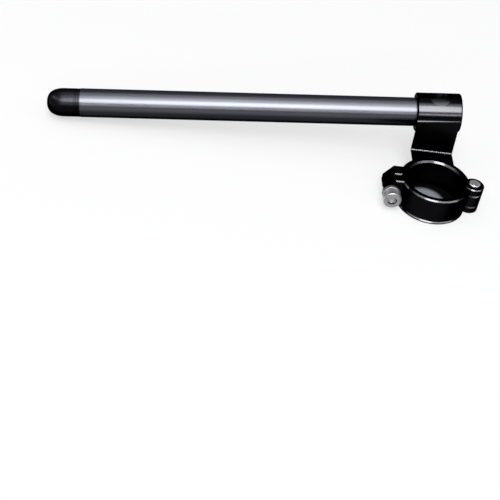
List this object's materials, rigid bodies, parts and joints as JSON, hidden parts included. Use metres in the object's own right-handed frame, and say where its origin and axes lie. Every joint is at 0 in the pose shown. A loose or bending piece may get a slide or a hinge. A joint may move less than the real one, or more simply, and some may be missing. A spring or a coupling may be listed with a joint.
{
  "type": "clip on handlebar",
  "caption": "Raised clip on handlebar: a hinged fork clamp ring with a riser that carries a straight, slightly drooping grip bar with a domed end cap.",
  "frame": {"origin": "centre of the fork clamp's bore, half way along it", "axes": "+Z along the fork tube, up towards the riser; -X out along the bar; +Y from the fork towards the riser"},
  "size_m": [0.3374, 0.0949, 0.0639],
  "materials": {
    "black_anodised": "gloss black anodised, machined",
    "grey_anodised": "satin grey anodised, drawn along its length",
    "pin_steel": "turned bright steel",
    "bolt_steel": "bright steel, knurled head",
    "black_plastic": "satin moulded black"
  },
  "bodies": {
    "bracket": {"bracket": "black_anodised", "bar_tube": "grey_anodised", "end_cap": "black_plastic", "hinge_pin": "pin_steel"},
    "clamp_cap": {"clamp_cap": "black_anodised"},
    "lock_washer": {"lock_washer": "bolt_steel"},
    "clamp_bolt": {"clamp_bolt": "bolt_steel"}
  },
  "joints": [
    {"name": "washer_slide", "type": "slide", "parent": "bracket", "child": "lock_washer", "axis": [0, -1, 0], "range_m": [0, 0.0025]},
    {"name": "bolt_turn", "type": "hinge", "parent": "lock_washer", "child": "clamp_bolt", "pos_m": [-0.0329, 0, 0], "axis": [0, -1, 0], "range_deg": [0, 720]},
    {"name": "cap_hinge", "type": "hinge", "parent": "bracket", "child": "clamp_cap", "pos_m": [0.0299, -0.0009, 0], "axis": [0, 0, 1], "range_deg": [0, 2.04]}
  ],
  "couplings": [
    {"joint": "bolt_turn", "follows": "washer_slide", "rad_per_m": 5026.5},
    {"joint": "cap_hinge", "follows": "washer_slide", "rad_per_m": 14.181}
  ]
}
